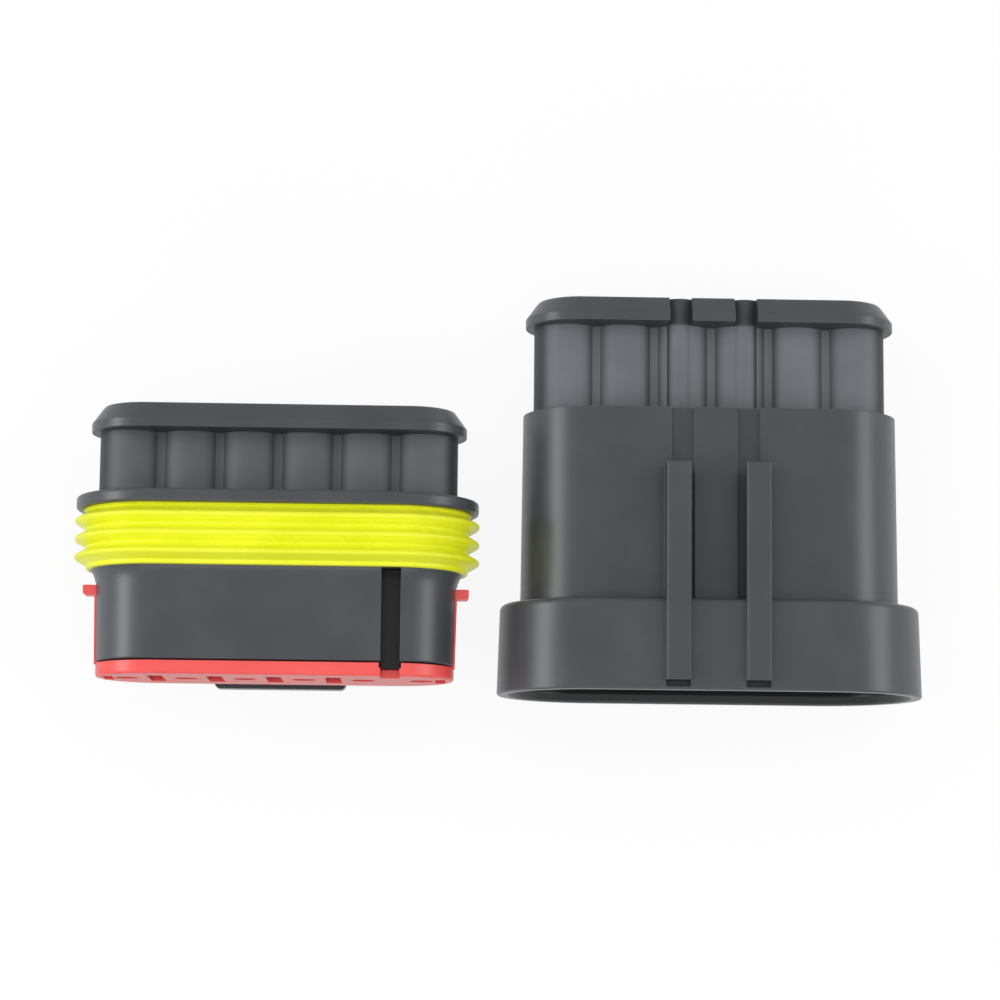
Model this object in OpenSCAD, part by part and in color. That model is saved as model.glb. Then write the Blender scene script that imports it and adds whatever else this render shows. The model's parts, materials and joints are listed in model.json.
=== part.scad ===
// Six-way sealed wire-to-wire connector: the plug half and the cap half lying side by side.
// Each half is drawn about its own axis: +Y runs to the wires, +Z is up, and y = 0 is where
// the cap's rim meets the plug's collar. The plug lies on its latch lever, the cap on its bell.

/* [Contact row] */
// Distance between neighbouring contacts
pitch = 6; // [5.8:0.1:6.6]
// How much shorter the flat sides are than the row of contacts
row_inset = 6; // [5:0.1:7]

/* [Plug body] */
// Half height of the front body behind its draft
plug_r = 6.4; // [6.2:0.05:6.8]
// Draft of the front body over its length
plug_draft = 0.15; // [0:0.05:0.3]
// Length of the front body ahead of the ring seal
plug_body_len = 9.4; // [9.2:0.1:12]
// How far the seal's neck stands out past the front body
neck_step = 0.6; // [0.4:0.05:0.8]
// Length of the flare that leads up to the neck
neck_flare = 2; // [1.4:0.1:2.6]
// Height of the collar above the neck
collar_h = 1.65; // [1.4:0.05:2]
// Thickness of the collar
collar_t = 1.3; // [1:0.1:1.8]
// Width of the keyway
key_w = 1.95; // [1.6:0.05:2.3]
// Depth of the keyway
key_depth = 3; // [1.5:0.1:3.1]

/* [Ring seal] */
// Room for the seal between the neck and the bell's inner wall
seal_room = 1.6; // [1.5:0.05:2]
// Length of the seal along the mating axis
seal_len = 6.2; // [6:0.1:7]
// How far the seal's ridges are squeezed by the bell
seal_squeeze = 0.15; // [0.05:0.05:0.25]
// Thickness of the seal's lip beside the collar
seal_lip = 0.25; // [0.2:0.05:0.4]
// Rounding of each ridge's crest
ridge_round = 0.3; // [0.2:0.02:0.36]
// Thickness of the seal between its ridges
seal_body = 0.6; // [0.5:0.05:0.8]

/* [Mating bell] */
// Wall of the bell at its rear shoulder
bell_wall = 1.15; // [1:0.05:1.35]
// How much the bell's half height grows towards the rim
bell_draft = 0.25; // [0:0.05:0.4]
// Length of the bell along the mating axis
bell_len = 9.3; // [9:0.1:11]
// Rounding of the bell's rear edge
bell_round = 0.6; // [0.2:0.1:0.8]
// Floor between the bell's cavity and its rear shoulder
shoulder_wall = 0.65; // [0.5:0.05:0.8]

/* [Cap body] */
// Wall of the cap's body round the plug
cap_wall = 1; // [0.95:0.05:1.3]
// How much the body's half height grows towards the bell
cap_draft = 0.15; // [0:0.05:0.3]
// Length of the cap's body behind the bell
cap_body_len = 19.9; // [17:0.1:23]
// Gap between the plug's body and the cap's inner wall
mate_gap = 0.1; // [0.08:0.01:0.2]
// Gap between the cap's rim and the plug's collar when mated
rim_gap = 0.2; // [0.1:0.05:0.3]

/* [Tubes] */
// Outer radius of each wire tube
tube_r = 3.43; // [3.3:0.01:3.6]
// Radius of the bore that takes a wire seal
seal_bore_r = 2.7; // [2.5:0.05:2.75]
// Thickness of the web that joins neighbouring tubes
web_t = 4.4; // [3.6:0.1:4.8]
// Fillet between each web and the tubes beside it
web_fillet = 0.25; // [0.1:0.01:0.3]

/* [Rear flanges] */
// Half height of each rear flange
flange_r = 5.8; // [5:0.1:6.5]
// How far the flange stands out past the end tubes
flange_lip = 0.9; // [0.5:0.05:1.2]
// Thickness of each rear flange
flange_t = 2.7; // [2.2:0.1:3.2]
// Length of the straight band round the flange, ahead of its sloped rear
flange_band = 0.95; // [0.7:0.05:1.3]
// How far the flange's rear slopes inwards
flange_slope = 1.15; // [0.6:0.05:1.4]

/* [Cap rails] */
// Width of the land between the two slots
land_w = 4.44; // [4:0.02:4.8]
// Width of each slot beside the land
slot_w = 2.33; // [2:0.01:2.6]
// Depth of each slot
slot_depth = 0.55; // [0.3:0.05:0.6]
// Width of each rail
rail_w = 2.5; // [2.2:0.05:2.6]
// Open gap between the land and the overhanging rail
rail_gap = 0.57; // [0.4:0.01:0.8]
// Height of the rails above the bell's shoulder
rail_h = 1.15; // [0.8:0.05:1.4]
// Distance from the cap's rim to the front end of the rails
rail_front = 0.95; // [0.8:0.05:1.6]
// Length of the rails
rail_len = 22.1; // [16:0.1:24]
// Radius of the rounded column under each flange cut-out
column_r = 1.5; // [1.3:0.05:1.7]
// How far each column stands up from its tube
column_h = 0.3; // [0.2:0.05:0.5]

/* [Latch lever] */
// Width of the lever
lever_w = 13.9; // [13.4:0.1:14.6]
// Thickness of the lever
lever_t = 1.8; // [1.2:0.1:2.2]
// Gap between the lever and the rails it passes over
lever_gap = 0.6; // [0.4:0.05:0.9]
// Gap between each lever arm and the rail beside it
arm_gap = 0.16; // [0.1:0.01:0.3]
// Length of the lever's front bar
bar_len = 1.6; // [1.2:0.1:2.4]
// How far the press pad reaches behind the collar
pad_len = 8.2; // [6:0.1:9]
// How far each latch tooth hooks behind the bell
tooth_hook = 1.1; // [0.7:0.05:1.3]

/* [Locks] */
// Thickness of the plug's lock plate
plug_lock_t = 1.35; // [1.2:0.05:2]
// Thickness of the cap's lock plate
cap_lock_t = 1.6; // [1.2:0.1:2]
// Open seam between a lock plate and its housing
lock_seam = 0.15; // [0.1:0.05:0.3]
// Distance each lock slides out to its open position
lock_travel = 2; // [1.6:0.1:2.2]
// How far the plug lock's side tabs stand out from the body
tab_out = 1.3; // [1:0.05:1.5]
// Length of each side tab along the mating axis
tab_len = 1; // [0.8:0.1:1.4]

/* [Contacts] */
// Width of a contact's box
box_w = 2.5; // [2.2:0.05:2.6]
// Length of a female contact's box
socket_len = 9; // [8.4:0.1:11]
// Length of a male contact's box
tab_box_len = 4.7; // [4.5:0.1:6]
// Width of a male tab
blade_w = 1.5; // [1.2:0.05:1.6]
// Thickness of a male tab
blade_t = 0.8; // [0.6:0.05:0.9]
// Sheet thickness of the contacts
sheet = 0.25; // [0.2:0.01:0.3]
// Radius of the hole for the wire's insulation
wire_r = 0.95; // [0.7:0.05:1.05]
// Radius of the hole for the bare wire
strand_r = 0.62; // [0.4:0.02:0.7]

/* [Layout] */
// Free space between the two halves
halves_apart = 2; // [1:0.1:20]
// How far the cap's rim lies ahead of the plug's front
cap_ahead = 1; // [0:0.1:6]

/* [Hidden] */
ways = 6;
clear = 0.15; // gap round every sliding or seated piece
eps = 0.05; // overshoot of cuts
edge = 0.3; // small edge rounding
bevel = edge / 2;
row = (ways - 1) * pitch; // from the first contact to the last
flat = row - row_inset; // flat side of every racetrack
end_x = row / 2; // the last contact's place along the row
key_x = flat / 2 - 0.2; // the keyway's place along the row
places = [for (i = [0:ways - 1]) i * pitch - end_x];
mids = [for (i = [0:ways - 2]) (i + 0.5) * pitch - end_x]; // halfway between contacts

// radii, from the plug's body outwards
nose_r = plug_r - plug_draft;
neck_r = plug_r + neck_step;
collar_r = neck_r + collar_h;
bell_in = neck_r + seal_room;
crest_r = bell_in + seal_squeeze;
bell_r = bell_in + bell_wall;
rim_r = bell_r + bell_draft;
seal_hole = neck_r + 0.02; // inside of the seal, just off the neck
shroud_r = plug_r + mate_gap; // inner wall of the cap round the plug's body
cap_r = shroud_r + cap_wall;

// contact and wire seal, from the front of a contact's box to the rear face of its half
box_set = 0.3; // box behind the chamber's front
box_back = 17; // rear end of the box, ahead of the rear face
chamber_back = 16; // rear end of the chamber
crimp_back = 15.3; // front end of the wire crimp
crimp_len = 3;
nose_back = 9; // front end of the wire seal's nose
grip_len = 2; // crimp round the nose
seal_seat = 6.7; // depth of the wire seal's bore
seal_sunk = 1; // wire seal below the rear face
nose_seal_r = wire_r + 0.5;
seal_body_r = seal_bore_r - 0.5;
seal_rib_r = seal_bore_r - 0.04;
grip_r = nose_seal_r + sheet + eps;
crimp_bore_r = grip_r + clear;
crimp_r = strand_r + 2 * sheet;
box_room = box_w / 2 + clear + eps; // half size of the contact's chamber

// ridges round the ring seal
ridges = 3;
ridge_pitch = (seal_len - seal_lip - edge - eps) / ridges;
ridge_foot = ridge_pitch / 2 - 0.1; // half the width of a ridge at its foot

// plug stations
plug_front = -seal_len - plug_body_len; // front face of the plug housing
plug_face = plug_front - lock_seam - plug_lock_t; // outer face of the plug's lock
plug_rear = plug_front + box_set + socket_len + box_back;
plug_tube_end = plug_rear - flange_t;

// cap stations
bell_floor = bell_len - shoulder_wall;
face_gap = 0.2; // mated plug's face to the cap's lock
cap_lock_front = rim_gap - plug_face + face_gap;
cap_floor = cap_lock_front + cap_lock_t + lock_seam;
cap_rear = cap_floor + box_set + tab_box_len + box_back;
cap_body_end = bell_len + cap_body_len;
cap_tube_end = cap_rear - flange_t;

// rail and lever section, from the middle of the row and from the plug's axis
slot_in = land_w / 2;
slot_out = slot_in + slot_w;
rail_in = slot_in + rail_gap;
rail_out = rail_in + rail_w;
rail_top = bell_r + rail_h;
pocket_depth = 0.8; // notch ahead of each rail
lever_in = rail_top + lever_gap;
lever_out = lever_in + lever_t;
lever_round = 0.6;
arm_in = rail_out + arm_gap;
arm_mid = (arm_in + lever_w / 2) / 2;
leg_foot = 1; // leg sunk into the collar
gusset = [2.4, 2]; // length and height
tooth_back = -rim_gap - bell_len - clear; // catch face just behind the mated bell
tooth_flat = 0.5;
tooth_len = 3;
grooves = 4; // finger grooves across the press pad
groove = [1, 0.6, 0.35]; // land beside it, width and depth
groove_pitch = 1.3;

// lances, from the front of each chamber
lance_t = 0.7;
lance_w = 1.8;
lance_hook = 0.45;
lance_tip = 2.9; // lance tip behind the chamber's mouth
lance_len = 5.1;
lance_side = 0.3; // gap beside the lance
lance_room = 1.85; // height of the space above the chamber
hook_len = 1.2;
finger_t = 0.8;
finger_z = box_room + lance_t + clear;
finger_len = lance_tip + lock_seam + lock_travel / 2; // drawn out, the finger clears the lance

// openings in the plug's lock plate; the window and recess as half sizes
entry = [1.2, 0.35, 1.4]; // for the mate's tab: radius, its centre's height and the flat top
window = [0.78, 3.3]; // between two contacts
recess = [0.5, 2]; // blind, at each end
recess_x = end_x + 1.9;
tongue = [0.5, 0.6]; // keyway floor standing forward: reach and thickness

// side arms of the plug's lock
arm_h = 2;
arm_t = 0.85;
arm_proud = 0.1; // arm outside the body
tab_front = -rim_gap - bell_floor + clear; // just inside the mated bell's floor
tab_back = tab_front + tab_len;

// places in the shared frame
plug_half_w = flat / 2 + crest_r;
cap_half_w = flat / 2 + rim_r;
all_w = 2 * plug_half_w + halves_apart + 2 * cap_half_w;
plug_at = [plug_half_w - all_w / 2, cap_ahead - plug_face - cap_rear / 2, lever_out];
cap_at = [all_w / 2 - cap_half_w, -cap_rear / 2, rim_r];

$fn = 64;

// ---- shared shapes ----

// Points along a round corner of a profile
function arc(x, y, r, from, to, steps = 5) =
    [for (i = [0:steps]) [x + r * cos(from + (to - from) * i / steps),
                          y + r * sin(from + (to - from) * i / steps)]];

// Sweeps a profile round a racetrack whose flat sides are `straight` long.
// The profile's x is the distance out from the centre line, its y lies along the mating axis.
module racetrack(straight) {
    rotate([-90, 0, 0])
        for (side = [-1, 1]) {
            translate([side * straight / 2, 0, 0])
                rotate([0, 0, -side * 90])
                    rotate_extrude(angle = 180) children();
            rotate([0, 0, side * 90])
                rotate([90, 0, 0])
                    linear_extrude(height = straight, center = true) children();
        }
}

// Solid racetrack block between two stations
module racetrack_block(straight, r, from, to) {
    racetrack(straight) translate([0, from]) square([r, to - from]);
}

// Round bar or bore along the mating axis
module bar(r, from, to, r_end = 0) {
    translate([0, from, 0])
        rotate([-90, 0, 0])
            cylinder(h = to - from, r1 = r, r2 = r_end > 0 ? r_end : r);
}

// Box given by its two corners
module block(low, high) {
    translate(low) cube(high - low);
}

// Section drawn in the YZ plane and extruded along the row
module along_row(w) {
    rotate([90, 0, 90]) linear_extrude(height = w, center = true) children();
}

// Section drawn in the XZ plane and extruded along the mating axis
module along_axis(from, to) {
    translate([0, to, 0]) rotate([90, 0, 0]) linear_extrude(height = to - from) children();
}

module at_places() {
    for (x = places) translate([x, 0, 0]) children();
}

module both_sides() {
    for (side = [0, 1]) mirror([side, 0, 0]) children();
}

// ---- tubes, flange and contact chambers, the same on both halves ----

module tubes(from, to) {
    at_places() bar(tube_r, from, to);
    block([-end_x, from, -web_t / 2], [end_x, to, web_t / 2]);
    for (x = mids) translate([x, 0, 0]) {
        web_fillets(from, to);
        mirror([0, 0, 1]) web_fillets(from, to);
    }
}

// Pair of fillets where a web meets its two tubes
module web_fillets(from, to) {
    up = web_t / 2 + web_fillet; // height of the fillets' centres
    across = pitch / 2 - sqrt(pow(tube_r + web_fillet, 2) - up * up);
    touch = up * tube_r / (tube_r + web_fillet); // where a fillet meets its tube
    difference() {
        block([-pitch / 4, from, web_t / 2 - edge], [pitch / 4, to, touch]);
        for (x = [-across, across])
            translate([x, 0, up]) bar(web_fillet, from - eps, to + eps);
        block([-across, from - eps, web_t / 2], [across, to + eps, up]);
    }
}

module rear_flange(from, to) {
    racetrack(row + 2 * (tube_r + flange_lip - flange_r))
        polygon(concat([[0, from]],
                       arc(flange_r - bevel, from + bevel, bevel, -90, 0, 4),
                       [[flange_r, from + flange_band], [flange_r - flange_slope, to - bevel],
                        [flange_r - flange_slope - bevel, to], [0, to]]));
}

// Bores that take the wire seals and crimps from the rear, stepping down to the box chambers
module contact_bores(rear, front) {
    at_places() {
        bar(seal_bore_r, rear - seal_seat, rear + eps);
        bar(seal_bore_r, rear - edge, rear + eps, seal_bore_r + edge + eps);
        bar(crimp_bore_r, rear - chamber_back - eps, rear - seal_seat + eps);
        block([-box_room, front - eps, -box_room], [box_room, rear - chamber_back, box_room]);
        lance_space(front);
    }
}

// Space over a chamber, with the springy lance left standing in it
module lance_space(front) {
    tip = front + lance_tip;
    difference() {
        block([-lance_w / 2 - lance_side, front - eps, box_room - eps],
              [lance_w / 2 + lance_side, tip + lance_len, box_room + lance_room]);
        block([-lance_w / 2, tip, box_room - 2 * eps],
              [lance_w / 2, tip + lance_len + eps, box_room + lance_t]);
    }
}

// Hook under a lance, standing down into its chamber
module lance_hooks(front) {
    tip = front + lance_tip;
    at_places()
        along_row(lance_w)
            polygon([[tip, box_room + eps], [tip, box_room - lance_hook],
                     [tip + hook_len / 3, box_room - lance_hook], [tip + hook_len, box_room + eps]]);
}

// ---- plug half ----

module plug_shell() {
    flare_y = -seal_len - neck_flare; // start of the flare
    flare_r = (pow(neck_flare, 2) + pow(neck_step, 2)) / (2 * neck_step);
    flare_turn = asin(neck_flare / flare_r);
    racetrack(flat)
        polygon(concat([[0, plug_front], [nose_r - bevel, plug_front], [nose_r, plug_front + bevel]],
                       arc(plug_r + flare_r, flare_y, flare_r, 180, 180 - flare_turn, 6),
                       [[neck_r, 0]],
                       arc(collar_r - edge, edge, edge, -90, 0, 3),
                       arc(collar_r - edge, collar_t - edge, edge, 0, 90, 3),
                       [[0, collar_t]]));
    tubes(collar_t - eps, plug_tube_end + eps);
    rear_flange(plug_tube_end, plug_rear);
}

// Lever frame in plan: front bar, two arms and the press pad
module lever_plan() {
    difference() {
        union() {
            translate([-lever_w / 2, plug_face + lever_round])
                square([lever_w, pad_len - plug_face - 2 * lever_round]);
            translate([lever_round - lever_w / 2, plug_face])
                square([lever_w - 2 * lever_round, pad_len - plug_face]);
            for (x = [-1, 1], y = [plug_face + lever_round, pad_len - lever_round])
                translate([x * (lever_w / 2 - lever_round), y]) circle(r = lever_round);
        }
        translate([-arm_in, plug_face + bar_len]) square([2 * arm_in, -plug_face - bar_len]);
    }
}

module lever() {
    difference() {
        translate([0, 0, -lever_out]) linear_extrude(height = lever_t) lever_plan();
        for (i = [1:grooves])
            block([groove[0] - lever_w / 2, pad_len - i * groove_pitch, -lever_out - eps],
                  [lever_w / 2 - groove[0], pad_len - i * groove_pitch + groove[1], -lever_out + groove[2]]);
    }
    both_sides()
        translate([arm_mid, 0, 0])
            along_row(lever_w / 2 - arm_in) {
                // leg from the collar, with a gusset under the press pad
                polygon([[0, leg_foot - collar_r], [0, -lever_in - eps],
                         [collar_t + gusset[0], -lever_in - eps], [collar_t, gusset[1] - lever_in],
                         [collar_t, leg_foot - collar_r]]);
                // tooth that snaps behind the bell
                polygon([[tooth_back, -lever_in - eps], [tooth_back, tooth_hook - rim_r],
                         [tooth_back - tooth_flat, tooth_hook - rim_r],
                         [tooth_back - tooth_len, -lever_in - eps]]);
            }
}

// Grooves down the plug's ends in which the lock's side arms run
module arm_grooves() {
    both_sides()
        translate([flat / 2 + plug_r, 0, 0])
            block([arm_proud - arm_t - clear, plug_front - eps, -arm_h / 2 - clear],
                  [plug_r, tab_back + 2 * clear, arm_h / 2 + clear]);
}

module plug_housing() {
    key_floor = plug_r - key_depth;
    color([0.26, 0.28, 0.3])
        translate(plug_at) {
            difference() {
                plug_shell();
                contact_bores(plug_rear, plug_front);
                arm_grooves();
                block([key_x - key_w / 2, plug_front - eps, key_floor],
                      [key_x + key_w / 2, -seal_len, plug_r + neck_step]);
            }
            lance_hooks(plug_front);
            // tongue of the keyway's floor that stands forward into the lock
            block([key_x - key_w / 2, plug_front - tongue[0], key_floor - tongue[1]],
                  [key_x + key_w / 2, plug_front + 2 * tongue[0], key_floor]);
            lever();
        }
}

// Profile of a seal ridge: straight flanks that run into a rounded crest
function ridge(y, foot_r) =
    let (top = crest_r - ridge_round, // centre of the crest's rounding
         reach = norm([top - foot_r, ridge_foot]),
         turn = atan2(ridge_foot, foot_r - top) - acos(ridge_round / reach))
    concat([[foot_r, y + ridge_foot]],
           arc(top, y, ridge_round, turn, -turn, 6),
           [[foot_r, y - ridge_foot]]);

module plug_seal() {
    body_r = neck_r + seal_body; // between the ridges
    lip_r = body_r + edge;
    color([0.93, 0.95, 0.2])
        translate(plug_at)
            racetrack(flat)
                polygon(concat([[seal_hole, 0], [lip_r, 0], [lip_r, -seal_lip / 2], [body_r, -seal_lip]],
                               [for (i = [0:ridges - 1])
                                    each ridge(-seal_lip - (i + 0.5) * ridge_pitch, body_r)],
                               arc(body_r - edge, edge - seal_len, edge, 0, -90, 4),
                               [[seal_hole, -seal_len]]));
}

// Fingers that slide over the lances and hold them down
module lock_fingers(face) {
    at_places()
        block([-lance_w / 2, face - eps, finger_z], [lance_w / 2, face + finger_len, finger_z + finger_t]);
}

// Half-moon hole with its flat side on top
module entry_hole(from, to) {
    intersection() {
        translate([0, 0, entry[1]]) bar(entry[0], from, to);
        block([-entry[0], from, entry[1] - entry[0] - eps], [entry[0], to, entry[2]]);
    }
}

module plug_lock() {
    rear = plug_face + plug_lock_t;
    key_floor = plug_r - key_depth;
    color([0.98, 0.37, 0.35])
        translate(plug_at) {
            difference() {
                racetrack(flat)
                    polygon(concat([[0, rear], [0, plug_face]],
                                   arc(nose_r - edge, plug_face + edge, edge, -90, 0, 3),
                                   [[nose_r, rear]]));
                at_places() entry_hole(plug_face - eps, rear + eps);
                for (i = [0:ways - 3])
                    block([mids[i] - window[0], plug_face - eps, -window[1]],
                          [mids[i] + window[0], rear + eps, window[1]]);
                both_sides()
                    block([recess_x - recess[0], plug_face - eps, -recess[1]],
                          [recess_x + recess[0], plug_face + plug_lock_t / 2, recess[1]]);
                // keyway, with room behind it for the housing's tongue
                block([key_x - key_w / 2, plug_face - eps, key_floor],
                      [key_x + key_w / 2, rear + eps, plug_r + 1]);
                block([key_x - key_w / 2 - clear, rear + lock_seam - tongue[0] - clear,
                       key_floor - tongue[1] - clear],
                      [key_x + key_w / 2 + clear, rear + eps, plug_r]);
            }
            lock_fingers(rear);
            both_sides() side_arm(rear);
        }
}

// Side arm of the plug's lock with its outward tab
module side_arm(rear) {
    body_x = flat / 2 + plug_r;
    outer = body_x + arm_proud;
    tip = body_x + tab_out;
    inner = outer - arm_t;
    translate([0, 0, -arm_h / 2])
        linear_extrude(height = arm_h)
            polygon(concat([[inner, rear - eps], [outer - plug_draft, rear - eps], [outer, tab_front]],
                           arc(tip - edge, tab_front + edge, edge, -90, 0, 4),
                           arc(tip - bevel, tab_back - bevel, bevel, 0, 90, 3),
                           [[inner, tab_back]]));
}

// ---- cap half ----

module cap_shell() {
    racetrack(flat)
        polygon(concat([[0, 0], [rim_r - bevel, 0], [rim_r, bevel]],
                       arc(bell_r - bell_round, bell_len - bell_round, bell_round, 0, 90, 4),
                       [[cap_r + cap_draft, bell_len], [cap_r, cap_body_end], [0, cap_body_end]]));
}

// Hollow of the bell, stepping in to the wall that guides the plug's body
module cap_hollow() {
    racetrack(flat)
        polygon([[0, -eps], [bell_in + edge + eps, -eps], [bell_in, 3 * edge], [bell_in, bell_floor],
                 [shroud_r + edge, bell_floor], [shroud_r, bell_floor + 2 * edge], [shroud_r, cap_floor],
                 [0, cap_floor]]);
}

// Slots on both sides of the land, down to a floor
module slots(from, to, floor) {
    both_sides() block([slot_in, from, floor], [slot_out, to, rail_top]);
}

// Overhanging rails: each foot stands on the body outside its slot
module rails() {
    foot = cap_r - edge;
    both_sides()
        along_axis(rail_front, rail_front + rail_len)
            polygon([[rail_in, bell_r - bevel], [rail_in, rail_top - bevel], [rail_in + bevel, rail_top],
                     [rail_out - bevel, rail_top], [rail_out, rail_top - bevel], [rail_out, foot],
                     [slot_out, foot], [slot_out, bell_r - bevel]]);
}

// Rounded column on the tube under each flange cut-out, flaring towards the rear
module columns() {
    both_sides()
        translate([(slot_in + slot_out) / 2, 0, tube_r + column_h - column_r]) {
            bar(column_r, cap_body_end - eps, cap_rear);
            bar(column_r, cap_tube_end, cap_rear, column_r + column_h);
        }
}

module cap_front() {
    difference() {
        union() {
            difference() {
                cap_shell();
                slots(bell_len, cap_body_end + eps, cap_r - slot_depth);
            }
            rails();
        }
        cap_hollow();
        both_sides()
            block([rail_in, edge, bell_r - pocket_depth], [rail_out, rail_front, rim_r + 1]);
    }
}

module cap_housing() {
    color([0.26, 0.28, 0.3])
        translate(cap_at) {
            difference() {
                union() {
                    cap_front();
                    tubes(cap_body_end - eps, cap_tube_end + eps);
                    difference() {
                        rear_flange(cap_tube_end, cap_rear);
                        slots(cap_tube_end - eps, cap_rear + eps, tube_r - edge);
                    }
                    columns();
                    // key rib along the inner wall
                    block([key_x - key_w / 2 + clear, bell_len, -shroud_r - edge],
                          [key_x + key_w / 2 - clear, cap_floor + eps, key_depth - clear - plug_r]);
                }
                contact_bores(cap_rear, cap_floor);
            }
            lance_hooks(cap_floor);
        }
}

module cap_lock() {
    rear = cap_lock_front + cap_lock_t;
    color([0.98, 0.37, 0.35])
        translate(cap_at) {
            difference() {
                racetrack_block(flat, shroud_r - clear, cap_lock_front, rear);
                at_places()
                    block([-blade_w / 2 - clear, cap_lock_front - eps, -blade_t / 2 - clear],
                          [blade_w / 2 + clear, rear + eps, blade_t / 2 + clear]);
                // notch over the key rib
                block([key_x - key_w / 2, cap_lock_front - eps, -shroud_r - 1],
                      [key_x + key_w / 2, rear + eps, key_depth - plug_r]);
            }
            lock_fingers(rear);
        }
}

// ---- contacts and wire seals ----

// Square box with a window for the lance's hook
module contact_box(front, len) {
    half = box_w / 2;
    hook = front - box_set + lance_tip;
    difference() {
        block([-half, front, -half], [half, front + len, half]);
        block([sheet - half, front - eps, sheet - half], [half - sheet, front + len + eps, half - sheet]);
        block([-lance_w / 2 - clear, hook - clear, 0],
              [lance_w / 2 + clear, hook + hook_len + edge, half + eps]);
    }
}

// Rolled crimp with its seam on top
module crimp(r, hole, from, to) {
    difference() {
        bar(r, from, to);
        bar(hole, from - eps, to + eps);
        block([-eps, from - eps, 0], [eps, to + eps, r + eps]);
    }
}

// Crimps behind the box: one for the wire and one round the wire seal's nose
module crimps(rear) {
    bottom = -box_w / 2;
    box_end = rear - box_back - 2 * sheet;
    wire_at = rear - crimp_back;
    wire_end = wire_at + crimp_len;
    grip_at = rear - nose_back;
    crimp(crimp_r, strand_r, wire_at, wire_end);
    crimp(grip_r, nose_seal_r + eps, grip_at, grip_at + grip_len);
    // strip that carries both crimps
    along_row(strand_r * 1.6)
        polygon([[box_end, bottom], [wire_at, -crimp_r], [wire_end, -crimp_r],
                 [grip_at, -grip_r], [grip_at + 2 * sheet, -grip_r], [grip_at + 2 * sheet, sheet - grip_r],
                 [grip_at, sheet - grip_r], [wire_end, sheet - crimp_r],
                 [wire_at, sheet - crimp_r], [box_end, bottom + sheet]]);
}

// Spring leaf in a female box, bent up to press on the tab
module leaf(front) {
    floor = sheet - box_w / 2 - eps;
    touch = -blade_t / 2 - 0.02;
    bend = box_w * 0.64;
    along_row(blade_w)
        polygon([[front + 1, floor], [front + 1 + bend, touch], [front + 1.6 + bend, touch],
                 [front + 2 + 1.6 * bend, floor], [front + 1.8 + bend, floor],
                 [front + 1.3 + bend, touch - sheet], [front + 1 + sheet * 2.4, floor]]);
}

module plug_terminal(number) {
    front = plug_front + box_set;
    color([0.72, 0.7, 0.66])
        translate(plug_at + [places[number - 1], 0, 0]) {
            contact_box(front, socket_len);
            leaf(front);
            crimps(plug_rear);
        }
}

// Flat tab with a chamfered tip
module tab(tip, base) {
    taper = blade_w * 0.67;
    half_w = blade_w / 2;
    half_t = blade_t / 2;
    intersection() {
        along_row(blade_w)
            polygon([[tip, -half_t / 3], [tip + taper, -half_t], [base, -half_t],
                     [base, half_t], [tip + taper, half_t], [tip, half_t / 3]]);
        translate([0, 0, -blade_t])
            linear_extrude(height = 2 * blade_t)
                polygon([[-half_w / 2, tip], [-half_w, tip + taper], [-half_w, base],
                         [half_w, base], [half_w, tip + taper], [half_w / 2, tip]]);
    }
}

module cap_terminal(number) {
    front = cap_floor + box_set;
    half = box_w / 2;
    color([0.72, 0.7, 0.66])
        translate(cap_at + [places[number - 1], 0, 0]) {
            contact_box(front, tab_box_len);
            // front wall of the box carries the tab
            block([-half, front, -half], [half, front + sheet, half]);
            tab(bell_len + edge, front + 2 * blade_t);
            crimps(cap_rear);
        }
}

module wire_seal(rear) {
    base = rear - seal_seat + eps;
    top = rear - seal_sunk;
    rib_len = (top - base) / 8;
    color([0.93, 0.95, 0.2])
        difference() {
            union() {
                bar(nose_seal_r, rear - nose_back, base + eps);
                bar(seal_body_r, base, top);
                for (i = [0:2]) {
                    rib = base + (top - base) * (i + 0.5) / 3;
                    bar(seal_body_r, rib - rib_len, rib, seal_rib_r);
                    bar(seal_rib_r, rib, rib + rib_len, seal_body_r);
                }
            }
            bar(wire_r, rear - nose_back - eps, top + eps);
        }
}

module plug_wire_seal(number) {
    translate(plug_at + [places[number - 1], 0, 0]) wire_seal(plug_rear);
}

module cap_wire_seal(number) {
    translate(cap_at + [places[number - 1], 0, 0]) wire_seal(cap_rear);
}

plug_housing();
plug_seal();
plug_lock();
cap_housing();
cap_lock();
plug_terminal(1);  // plug_terminal_1
plug_terminal(2);  // plug_terminal_2
plug_terminal(3);  // plug_terminal_3
plug_terminal(4);  // plug_terminal_4
plug_terminal(5);  // plug_terminal_5
plug_terminal(6);  // plug_terminal_6
plug_wire_seal(1);  // plug_wire_seal_1
plug_wire_seal(2);  // plug_wire_seal_2
plug_wire_seal(3);  // plug_wire_seal_3
plug_wire_seal(4);  // plug_wire_seal_4
plug_wire_seal(5);  // plug_wire_seal_5
plug_wire_seal(6);  // plug_wire_seal_6
cap_terminal(1);  // cap_terminal_1
cap_terminal(2);  // cap_terminal_2
cap_terminal(3);  // cap_terminal_3
cap_terminal(4);  // cap_terminal_4
cap_terminal(5);  // cap_terminal_5
cap_terminal(6);  // cap_terminal_6
cap_wire_seal(1);  // cap_wire_seal_1
cap_wire_seal(2);  // cap_wire_seal_2
cap_wire_seal(3);  // cap_wire_seal_3
cap_wire_seal(4);  // cap_wire_seal_4
cap_wire_seal(5);  // cap_wire_seal_5
cap_wire_seal(6);  // cap_wire_seal_6
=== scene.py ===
import json
import math

import bpy
from mathutils import Matrix, Vector


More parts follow.
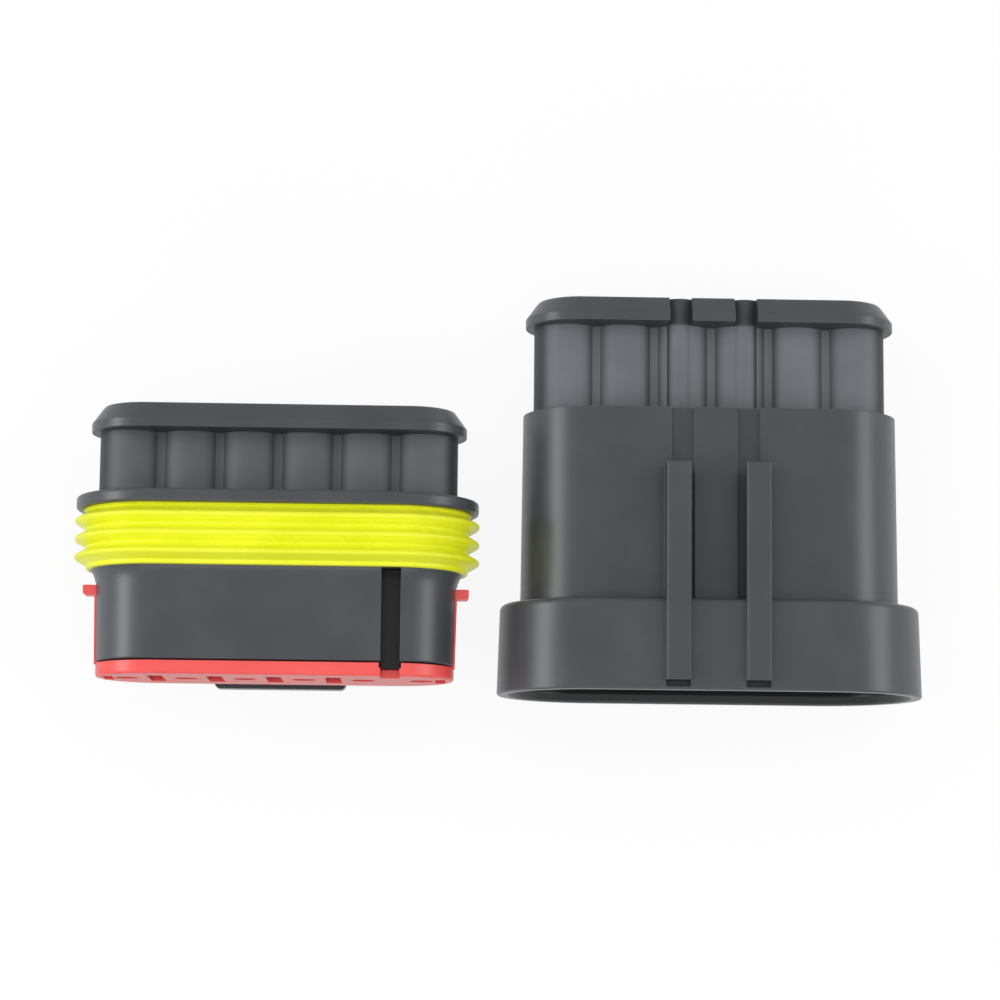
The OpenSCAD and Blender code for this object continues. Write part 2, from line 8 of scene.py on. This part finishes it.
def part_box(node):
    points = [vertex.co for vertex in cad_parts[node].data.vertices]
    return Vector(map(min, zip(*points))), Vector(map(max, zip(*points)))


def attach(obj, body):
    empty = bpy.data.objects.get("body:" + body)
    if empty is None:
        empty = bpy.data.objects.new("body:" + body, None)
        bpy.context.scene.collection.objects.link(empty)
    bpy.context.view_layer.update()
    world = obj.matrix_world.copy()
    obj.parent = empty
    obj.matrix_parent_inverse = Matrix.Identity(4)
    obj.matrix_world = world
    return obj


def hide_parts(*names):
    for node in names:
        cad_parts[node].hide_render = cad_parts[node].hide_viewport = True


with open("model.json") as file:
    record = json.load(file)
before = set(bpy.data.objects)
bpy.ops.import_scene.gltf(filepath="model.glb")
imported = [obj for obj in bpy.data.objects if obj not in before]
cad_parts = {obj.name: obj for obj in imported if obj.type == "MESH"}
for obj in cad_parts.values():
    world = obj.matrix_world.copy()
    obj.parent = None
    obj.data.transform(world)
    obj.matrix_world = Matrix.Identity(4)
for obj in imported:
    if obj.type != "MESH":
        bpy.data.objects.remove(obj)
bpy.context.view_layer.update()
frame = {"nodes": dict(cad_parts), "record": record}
mm = 0.001
print("frame loaded:", len(frame["nodes"]), "nodes")

ways = 6  # contacts in each half


def middle(node):
    low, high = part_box(node)
    return (low + high) / 2


camera = {
    "azimuth": -9.74, "elevation": 81.465, "roll": 10.453,  # degrees
    "distance": 0.3, "target": (-0.000106, -0.000254, 0.010), "clip": (0.01, 10),  # metres
    "lens": 103.467, "sensor": 36.0,  # millimetres
}


def makeCamera():
    azimuth, elevation, roll = (math.radians(camera[k]) for k in ("azimuth", "elevation", "roll"))
    back = Vector((math.sin(azimuth) * math.cos(elevation),
                   -math.cos(azimuth) * math.cos(elevation), math.sin(elevation)))
    level = (-back).cross(Vector((0, 0, 1))).normalized()
    upright = back.cross(level)
    right = level * math.cos(roll) + upright * math.sin(roll)
    up = upright * math.cos(roll) - level * math.sin(roll)
    data = bpy.data.cameras.new("camera")
    data.lens = camera["lens"]
    data.sensor_width = camera["sensor"]
    data.clip_start, data.clip_end = camera["clip"]
    view = bpy.data.objects.new("camera", data)
    bpy.context.scene.collection.objects.link(view)
    place = Matrix((right, up, back)).transposed().to_4x4()
    place.translation = Vector(camera["target"]) + back * camera["distance"]
    view.matrix_world = place
    bpy.context.scene.camera = view


makeCamera()
print("camera placed")


def linear(colour):
    # sRGB hex to a linear colour with full alpha
    parts = [int(colour[i:i + 2], 16) / 255 for i in (1, 3, 5)]
    return [c / 12.92 if c <= 0.04045 else ((c + 0.055) / 1.055) ** 2.4 for c in parts] + [1]


def addNode(tree, kind, settings=None, links=None):
    # one node; settings go by socket name, socket number or property, links by input
    node = tree.nodes.new(kind)
    for key, value in (settings or {}).items():
        if isinstance(key, int) or key in node.inputs:
            node.inputs[key].default_value = value
        else:
            setattr(node, key, value)
    for key, source in (links or {}).items():
        tree.links.new(source, node.inputs[key])
    return node


def calculate(tree, operation, *values):
    # one maths node; each value is a number or another node's output
    numbers = {i: value for i, value in enumerate(values) if isinstance(value, (int, float))}
    sources = {i: value for i, value in enumerate(values) if i not in numbers}
    settings = {"operation": operation, **numbers}
    return addNode(tree, "ShaderNodeMath", settings, sources).outputs[0]


def remap(tree, source, before, after=(0.0, 1.0), shape="LINEAR"):
    # takes a value from the range `before` to the range `after`, level beyond both ends
    settings = {"interpolation_type": shape, "From Min": before[0], "From Max": before[1],
                "To Min": after[0], "To Max": after[1]}
    return addNode(tree, "ShaderNodeMapRange", settings, {"Value": source}).outputs["Result"]


def startMaterial(name, base):
    material = bpy.data.materials.new(name)
    material.use_nodes = True
    tree = material.node_tree
    tree.nodes.clear()
    output = tree.nodes.new("ShaderNodeOutputMaterial")
    shader = addNode(tree, "ShaderNodeBsdfPrincipled", base)
    tree.links.new(shader.outputs["BSDF"], output.inputs["Surface"])
    spot = tree.nodes.new("ShaderNodeTexCoord").outputs["Object"]
    return material, tree, shader, spot


def toneRamp(tree, dark, light, source):
    # dark to light across the middle of a noise
    ramp = addNode(tree, "ShaderNodeValToRGB", links={"Fac": source})
    stops = zip(ramp.color_ramp.elements, (0.3, 0.7), (dark, light))
    for stop, position, colour in stops:
        stop.position = position
        stop.color = linear(colour)
    return ramp.outputs["Color"]


def blendSkin(tree, share, skin, other, cloud):
    # mixes another colour and roughness into a skin
    tone, rough = skin
    otherTone = toneRamp(tree, *other["colour"], cloud)
    mixed = addNode(tree, "ShaderNodeMix", {"data_type": "RGBA"}, {0: share, 6: tone, 7: otherTone})
    return mixed.outputs[2], calculate(tree, "MULTIPLY_ADD", share, other["rougher"], rough)


masks = {
    "soft": 0.1, "step": 0.01,  # millimetres in which a stretch begins or a radius changes
    "paintedCrownLight": (0.6, 0.94),  # vertical share of the surface's direction, from side to top, over which the painted light on the tubes' tops fades in
}


def stretchShare(tree, axes, stretch):
    # 1 between two stations along the mating axis
    soft = masks["soft"] * mm
    start, end = stretch["from"], stretch["to"]
    after = remap(tree, axes["Y"], (start - soft, start + soft))
    before = remap(tree, axes["Y"], (end + soft, end - soft))
    return calculate(tree, "MULTIPLY", after, before)


def paintedCrownLightShare(tree, axes, stretch):
    # the same, only where the surface faces up or down: the mask of the painted light on the tubes'
    # tops
    direction = tree.nodes.new("ShaderNodeTexCoord").outputs["Normal"]
    facing = addNode(tree, "ShaderNodeSeparateXYZ", links={"Vector": direction}).outputs["Z"]
    facing = calculate(tree, "ABSOLUTE", facing)
    paintedCrownLight = remap(tree, facing, masks["paintedCrownLight"], shape="SMOOTHSTEP")
    return calculate(tree, "MULTIPLY", paintedCrownLight, stretchShare(tree, axes, stretch))


def paintedInsideShadeShare(tree, axes, paintedInsideShade):
    # 1 inside a racetrack round the row of contacts, as far as a station along the mating axis: the
    # mask of the painted shade on the inside faces and keyway
    x, z = paintedInsideShade["centre"]
    off = calculate(tree, "ABSOLUTE", calculate(tree, "SUBTRACT", axes["X"], x))
    off = calculate(tree, "MAXIMUM", calculate(tree, "SUBTRACT", off, paintedInsideShade["flat"] / 2), 0.0)
    rise = calculate(tree, "SUBTRACT", axes["Z"], z)
    spread = addNode(tree, "ShaderNodeCombineXYZ", links={"X": off, "Y": rise}).outputs[0]
    reach = addNode(tree, "ShaderNodeVectorMath", {"operation": "LENGTH"}, {0: spread})
    stations = (paintedInsideShade["step"], paintedInsideShade["step"] + masks["step"] * mm)
    radius = remap(tree, axes["Y"], stations, paintedInsideShade["radius"])
    within = calculate(tree, "LESS_THAN", reach.outputs["Value"], radius)
    before = calculate(tree, "LESS_THAN", axes["Y"], paintedInsideShade["end"])
    return calculate(tree, "MULTIPLY", within, before)


def mouldedMaterial(name, settings):
    # a moulded skin: cloudy tone, fine grain, and edges a little rounded where `edge` asks for it
    material, tree, shader, spot = startMaterial(name, settings["shader"])
    cloud = addNode(tree, "ShaderNodeTexNoise",
                    {"Scale": 1 / (settings["cloudSize"] * mm), "Detail": 3.0, "Roughness": 0.6},
                    {"Vector": spot}).outputs["Fac"]
    tone = toneRamp(tree, settings["dark"], settings["light"], cloud)
    rough = remap(tree, cloud, (0.0, 1.0), settings["roughness"])
    axes = addNode(tree, "ShaderNodeSeparateXYZ", links={"Vector": spot}).outputs
    for other in settings.get("others", []):
        share = other["where"](tree, axes, other)
        tone, rough = blendSkin(tree, share, (tone, rough), other, cloud)
    tree.links.new(tone, shader.inputs["Base Color"])
    tree.links.new(rough, shader.inputs["Roughness"])
    grain = addNode(tree, "ShaderNodeTexNoise",
                    {"Scale": 1 / (settings["grainSize"] * mm), "Detail": 2.0}, {"Vector": spot})
    bump = addNode(tree, "ShaderNodeBump", {
        "Strength": settings["grainStrength"], "Distance": settings["grainDepth"] * mm,
    }, {"Height": grain.outputs["Fac"]})
    if "edge" in settings:
        edges = addNode(tree, "ShaderNodeBevel", {"Radius": settings["edge"] * mm, "samples": 6})
        tree.links.new(edges.outputs["Normal"], bump.inputs["Normal"])
    tree.links.new(bump.outputs["Normal"], shader.inputs["Normal"])
    return material


housing = {
    "colour": ("#3D4045", "#46494E"), "roughness": (0.33, 0.39),
    # painted shade: the first pair below makes the inside faces and keyway near black
    # painted shade: the second pair below darkens the tubes' stretch, most on their sides
    "paintedInsideShade": ("#121415", "#181A1C"), "side": ("#24272A", "#2C2F33"),
    # millimetres: the racetracks' straight part; the tubes' stretch, counted back from the wire
    # side's end; the racetracks' radius before and after a step, and the height of their middle
    "flat": 24,
    "halves": {
        # painted light: each half's paler tones below lighten the tops of its tubes
        "plug_housing": {"tubes": (9.4, 2.7), "paintedCrownLight": ("#54575C", "#5E6166"),
                         "radius": (5.9, 5.9), "step": 0, "height": 13.3},
        "cap_housing": {"tubes": (12.05, 2.7), "paintedCrownLight": ("#62666B", "#6E7277"),
                        "radius": (8.86, 6.6), "step": 8.65, "height": 10.0},
    },
}


def nylonMaterial(node):
    # glass-filled nylon: satin dark grey, faintly mottled; the tubes are rougher, with painted
    # light on their tops and painted shade on their sides, and painted shade makes the inside faces
    # and keyway near black; these tones by place are fitted and stand for light and shade, they
    # aren't known of the real skin
    half = housing["halves"][node]
    low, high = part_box(node)
    start, end = (high.y - y * mm for y in half["tubes"])
    tubes = {"from": start, "to": end}
    inside = {
        "centre": (middle(node).x, half["height"] * mm), "flat": housing["flat"] * mm,
        "radius": [r * mm for r in half["radius"]], "step": low.y + half["step"] * mm, "end": start,
    }
    return mouldedMaterial(node.split("_")[0] + "GlassFilledNylon", {
        "shader": {"IOR": 1.53},
        "dark": housing["colour"][0], "light": housing["colour"][1],
        "cloudSize": 9.0, "roughness": housing["roughness"],
        "grainSize": 0.12, "grainStrength": 0.25, "grainDepth": 0.008, "edge": 0.12,
        "others": [
            # painted shade over the tubes' stretch, with real added roughness
            {"where": stretchShare, "colour": housing["side"], "rougher": 0.22, **tubes},
            # painted light on the tubes' faces that point up or down
            {"where": paintedCrownLightShare, "colour": half["paintedCrownLight"], "rougher": 0.0, **tubes},
            # painted shade: the inside faces and keyway made near black
            {"where": paintedInsideShadeShare, "colour": housing["paintedInsideShade"], "rougher": -0.05, **inside},
        ],
    })


# PBT polyester, moulded, coloured through: waxy satin, a little light enters thin edges
polyester = mouldedMaterial("colouredPolyester", {
    "shader": {"IOR": 1.57, "Subsurface Weight": 0.25, "Subsurface Scale": 0.0006,
               "Subsurface Radius": (1.0, 0.25, 0.2)},
    "dark": "#EE4D4A", "light": "#F65A56",
    "cloudSize": 7.0, "roughness": (0.34, 0.44),
    "grainSize": 0.12, "grainStrength": 0.2, "grainDepth": 0.006, "edge": 0.12,
})

# moulded silicone rubber: soft gloss, saturated, light enters the ridges
silicone = mouldedMaterial("siliconeRubber", {
    "shader": {"IOR": 1.41, "Subsurface Weight": 0.2, "Subsurface Scale": 0.0008,
               "Subsurface Radius": (1.0, 1.0, 0.2)},
    "dark": "#E8ED1E", "light": "#F3F636",
    "cloudSize": 6.0, "roughness": (0.32, 0.42),
    "grainSize": 0.3, "grainStrength": 0.06, "grainDepth": 0.004,
})


def tinnedMaterial():
    # stamped brass strip under bright tin: metallic, faint rolling lines along the contact
    material, tree, shader, spot = startMaterial("tinnedBrass", {"Metallic": 1.0})
    across, along = 1 / (0.08 * mm), 1 / (2 * mm)
    lines = addNode(tree, "ShaderNodeMapping", {"Scale": (across, along, across)}, {"Vector": spot})
    rolling = addNode(tree, "ShaderNodeTexNoise", {"Scale": 1.0, "Detail": 2.0},
                      {"Vector": lines.outputs["Vector"]}).outputs["Fac"]
    tree.links.new(toneRamp(tree, "#BDB7AA", "#D9D6CE", rolling), shader.inputs["Base Color"])
    tree.links.new(remap(tree, rolling, (0.0, 1.0), (0.2, 0.38)), shader.inputs["Roughness"])
    return material


def dressNodes():
    finishes = {"lock": polyester, "silicone": silicone, "contact": tinnedMaterial()}
    for part in frame["record"]["subparts"]:
        node, slot = part["node"], part["material_slot"]
        materials = frame["nodes"][node].data.materials
        materials.clear()
        materials.append(nylonMaterial(node) if slot == "housing" else finishes[slot])


dressNodes()
print("materials set")


weld = 0.001 * mm  # points closer than this are one


def pick(piece):
    bpy.ops.object.select_all(action="DESELECT")
    piece.select_set(True)
    bpy.context.view_layer.objects.active = piece


def lathe(name, profile, steps):
    # a closed profile of (radius, station) in millimetres, spun about the Y axis
    bpy.ops.object.select_all(action="DESELECT")
    bpy.ops.mesh.primitive_plane_add(size=mm)
    piece = bpy.context.object
    piece.name = name
    piece.data.name = name
    bpy.ops.object.mode_set(mode="EDIT")
    bpy.ops.mesh.select_all(action="SELECT")
    bpy.ops.mesh.merge(type="CENTER")
    bpy.ops.transform.translate(value=(profile[0][0] * mm, profile[0][1] * mm, 0))
    for (r0, y0), (r1, y1) in zip(profile, profile[1:] + profile[:1]):
        bpy.ops.mesh.extrude_vertices_move(
            TRANSFORM_OT_translate={"value": ((r1 - r0) * mm, (y1 - y0) * mm, 0)})
    bpy.ops.mesh.select_all(action="SELECT")
    bpy.ops.mesh.remove_doubles(threshold=weld)
    bpy.ops.mesh.spin(steps=steps, angle=2 * math.pi, center=(0, 0, 0), axis=(0, 1, 0))
    bpy.ops.mesh.select_all(action="SELECT")
    bpy.ops.mesh.remove_doubles(threshold=weld)
    bpy.ops.mesh.normals_make_consistent(inside=False)
    bpy.ops.object.mode_set(mode="OBJECT")
    return piece


def stretchRow(piece, half):
    # pulls the two halves of a spun ring apart, so that it becomes a racetrack
    for side in (-1, 1):
        bpy.ops.object.mode_set(mode="EDIT")
        bpy.ops.mesh.select_all(action="DESELECT")
        bpy.ops.object.mode_set(mode="OBJECT")
        for vertex in piece.data.vertices:
            vertex.select = vertex.co.x * side > 0
        bpy.ops.object.mode_set(mode="EDIT")
        bpy.ops.transform.translate(value=(side * half, 0, 0))
    bpy.ops.object.mode_set(mode="OBJECT")


def placeAt(piece, point):
    pick(piece)
    bpy.ops.transform.translate(value=point)
    bpy.ops.object.transform_apply(location=True, rotation=True, scale=True)


def finishRubber(piece, node, smooth):
    piece.data.materials.clear()
    piece.data.materials.append(silicone)
    pick(piece)
    bpy.ops.object.shade_smooth_by_angle(angle=math.radians(smooth))
    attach(piece, "housings")
    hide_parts(node)


def cornerPoints(x, y, radius, start, end, count):
    # points round a corner of a profile
    turns = [math.radians(start + (end - start) * i / count) for i in range(count + 1)]
    return [(x + radius * math.cos(a), y + radius * math.sin(a)) for a in turns]


ringSeal = {  # millimetres, stations from the collar forwards
    "bore": 7.02, "body": 7.6, "crest": 8.75, "length": 6.2,
    "lip": 0.25, "lipHeight": 0.3, "lipRound": 0.06, "nose": 0.3, "spare": 0.05,
    "ridges": 3, "crestRound": 0.3, "valley": 0.1, "dip": 0.04, "foot": (0.08, 0.05),
    "steps": 98, "smooth": 50,  # points round the spin; degrees up to which an edge is smooth
}


def ringSealProfile():
    # up the lip beside the collar, over the ridges, round the nose and back along the bore
    s = ringSeal
    pitch = (s["length"] - s["lip"] - s["nose"] - s["spare"]) / s["ridges"]
    foot = pitch / 2 - s["valley"]
    footUp, footIn = s["foot"]
    centre = s["crest"] - s["crestRound"]
    reach = math.hypot(centre - s["body"], foot)
    turn = math.degrees(math.atan2(foot, s["body"] - centre) - math.acos(s["crestRound"] / reach))
    lipTop = s["body"] + s["lipHeight"]
    lipFlat = lipTop - s["lipRound"]
    points = [(s["bore"], 0), (lipFlat, 0)]
    points += cornerPoints(lipFlat, -s["lipRound"], s["lipRound"], 90, 0, 2)[1:]
    points += [(lipTop, -s["lip"] / 2)]
    for i in range(s["ridges"]):
        y = -s["lip"] - (i + 0.5) * pitch
        points += [(s["body"] - s["dip"] / 2, y + foot + s["valley"]), (s["body"], y + foot),
                   (s["body"] + footUp, y + foot - footIn)]
        points += cornerPoints(centre, y, s["crestRound"], turn, -turn, 6)
        points += [(s["body"] + footUp, y - foot + footIn), (s["body"], y - foot)]
    points += cornerPoints(s["body"] - s["nose"], s["nose"] - s["length"], s["nose"], 0, -90, 4)
    points += [(s["bore"], -s["length"])]
    return points


def makeRingSeal():
    low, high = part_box("plug_seal")
    centre = middle("plug_seal")
    seal = lathe("ringSeal", ringSealProfile(), ringSeal["steps"])
    stretchRow(seal, (high.x - low.x - high.z + low.z) / 2)
    placeAt(seal, (centre.x, high.y, centre.z))
    finishRubber(seal, "plug_seal", ringSeal["smooth"])


makeRingSeal()
print("ring seal made")

wireSeal = {  # millimetres
    "wire": 0.95, "nose": 1.45, "body": 2.2, "rib": 2.66, "ribs": 3, "noseLength": 2.35,
    "chamfer": 0.1, "tip": 0.12,  # broken edges, the second at the nose's front
    "ribHalf": 0.1, "ribRound": 0.05, "flanks": (0.42, 0.25),  # the last in shares of a rib's step
    "steps": 32, "smooth": 40,
}


def wireSealProfile(length):
    # stations run from the nose's front end at 0 to the rear face at `length`
    s = wireSeal
    start, chamfer = s["noseLength"], s["chamfer"]
    outer, inner = s["flanks"]
    step = (length - start) / s["ribs"]
    points = [(s["wire"], chamfer), (s["wire"] + chamfer, 0), (s["nose"] - chamfer, 0),
              (s["nose"], s["tip"]), (s["nose"], start - chamfer), (s["nose"] + chamfer, start),
              (s["body"] - 0.15, start + 0.02)]
    for i in range(s["ribs"]):
        y = start + (i + 0.5) * step
        points += [(s["body"], y - outer * step), (s["body"] + chamfer, y - inner * step),
                   (s["rib"] - s["ribRound"], y - s["ribHalf"]), (s["rib"], y),
                   (s["rib"] - s["ribRound"], y + s["ribHalf"]),
                   (s["body"] + chamfer, y + inner * step)]
    # round the rear rim and down the funnel to the wire's hole
    points += [(s["body"], length - 0.2), (s["body"] - 0.06, length - 0.06),
               (s["body"] - 0.2, length), (s["wire"] + 0.35, length),
               (s["wire"] + 0.12, length - 0.08), (s["wire"], length - 0.3)]
    return points


def makeWireSeals():
    low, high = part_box("plug_wire_seal_1")
    first = lathe("wireSeal", wireSealProfile((high.y - low.y) / mm), wireSeal["steps"])
    for half in ("plug", "cap"):
        for number in range(1, ways + 1):
            node = f"{half}_wire_seal_{number}"
            copy = first.copy()
            copy.data = first.data.copy()
            copy.name = f"{half}WireSeal{number}"
            copy.data.name = copy.name
            bpy.context.scene.collection.objects.link(copy)
            centre = middle(node)
            placeAt(copy, (centre.x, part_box(node)[0].y, centre.z))
            finishRubber(copy, node, wireSeal["smooth"])
    bpy.data.objects.remove(first)


makeWireSeals()
print("wire seals made")

studio = {
    "floorSize": 8.0, "floorDrop": 0.00002,  # metres
    "paper": "#808080", "whitePaper": "#F4F4F4",
    "backdropGlow": 0.9,  # share of the backdrop's white that doesn't depend on the lamps
    "overhead": 1.3, "aroundIt": 0.13,  # strength of the soft light overhead, and lower down
    "fade": (0.45, 0.95),  # height in the sky between the two
    "skyGlow": 0.6,  # pale sky behind the floor, as the camera and gloss see it
    "lamps": [
        # name, place and size in metres, watts
        ("left", (-0.40, 0.0, 0.205), (0.32, 0.15), 0.92),
        ("right", (0.40, 0.0, 0.205), (0.32, 0.15), 0.62),
        ("front", (0.0, -0.45, 0.25), (0.5, 0.15), 0.5),
    ],
}
white = (1, 1, 1, 1)


def seenDirectly(tree):
    # 1 for rays from the camera, and for reflected or transmitted ones
    rays = tree.nodes.new("ShaderNodeLightPath")
    total = rays.outputs["Is Camera Ray"]
    for name in ("Is Glossy Ray", "Is Transmission Ray"):
        total = addNode(tree, "ShaderNodeMath", {"operation": "ADD", "use_clamp": True},
                        {0: total, 1: rays.outputs[name]}).outputs[0]
    return total


def makeFloor():
    bpy.ops.object.select_all(action="DESELECT")
    bpy.ops.mesh.primitive_plane_add(
        size=studio["floorSize"], location=(0, 0, -studio["floorDrop"]))
    floor = bpy.context.object
    floor.name = "floor"
    material = bpy.data.materials.new("paperSweep")
    material.use_nodes = True
    tree = material.node_tree
    tree.nodes.clear()
    output = tree.nodes.new("ShaderNodeOutputMaterial")
    paper = addNode(tree, "ShaderNodeBsdfDiffuse", {"Color": linear(studio["paper"])})
    bright = addNode(tree, "ShaderNodeBsdfDiffuse", {"Color": linear(studio["whitePaper"])})
    glow = addNode(tree, "ShaderNodeEmission", {"Color": white, "Strength": 1.0})
    lit = addNode(tree, "ShaderNodeMixShader", {"Fac": studio["backdropGlow"]},
                  {1: bright.outputs[0], 2: glow.outputs[0]})
    mix = addNode(tree, "ShaderNodeMixShader", links={
        "Fac": seenDirectly(tree), 1: paper.outputs[0], 2: lit.outputs[0]})
    tree.links.new(mix.outputs[0], output.inputs["Surface"])
    floor.data.materials.append(material)


def makeWorld():
    world = bpy.data.worlds.new("studio")
    world.use_nodes = True
    tree = world.node_tree
    tree.nodes.clear()
    output = tree.nodes.new("ShaderNodeOutputWorld")
    direction = tree.nodes.new("ShaderNodeTexCoord").outputs["Generated"]
    up = addNode(tree, "ShaderNodeSeparateXYZ", links={"Vector": direction}).outputs["Z"]
    levels = (studio["aroundIt"], studio["overhead"])
    strength = remap(tree, up, studio["fade"], levels, "SMOOTHSTEP")
    light = addNode(tree, "ShaderNodeBackground", {"Color": white}, {"Strength": strength})
    sky = addNode(tree, "ShaderNodeBackground", {"Color": white, "Strength": studio["skyGlow"]})
    mix = addNode(tree, "ShaderNodeMixShader", links={
        "Fac": seenDirectly(tree), 1: light.outputs[0], 2: sky.outputs[0]})
    tree.links.new(mix.outputs[0], output.inputs["Surface"])
    bpy.context.scene.world = world


def makeLamps():
    aim = Vector((0, 0, 0.01))  # the middle of the part
    for name, place, size, watts in studio["lamps"]:
        data = bpy.data.lights.new(name, "AREA")
        data.shape = "RECTANGLE"
        data.size, data.size_y = size
        data.energy = watts
        lamp = bpy.data.objects.new(name, data)
        bpy.context.scene.collection.objects.link(lamp)
        lamp.location = place
        lamp.rotation_euler = (aim - Vector(place)).to_track_quat("-Z", "Y").to_euler()


makeFloor()
makeWorld()
makeLamps()
bpy.context.scene.view_settings.view_transform = "Standard"
print("studio set")
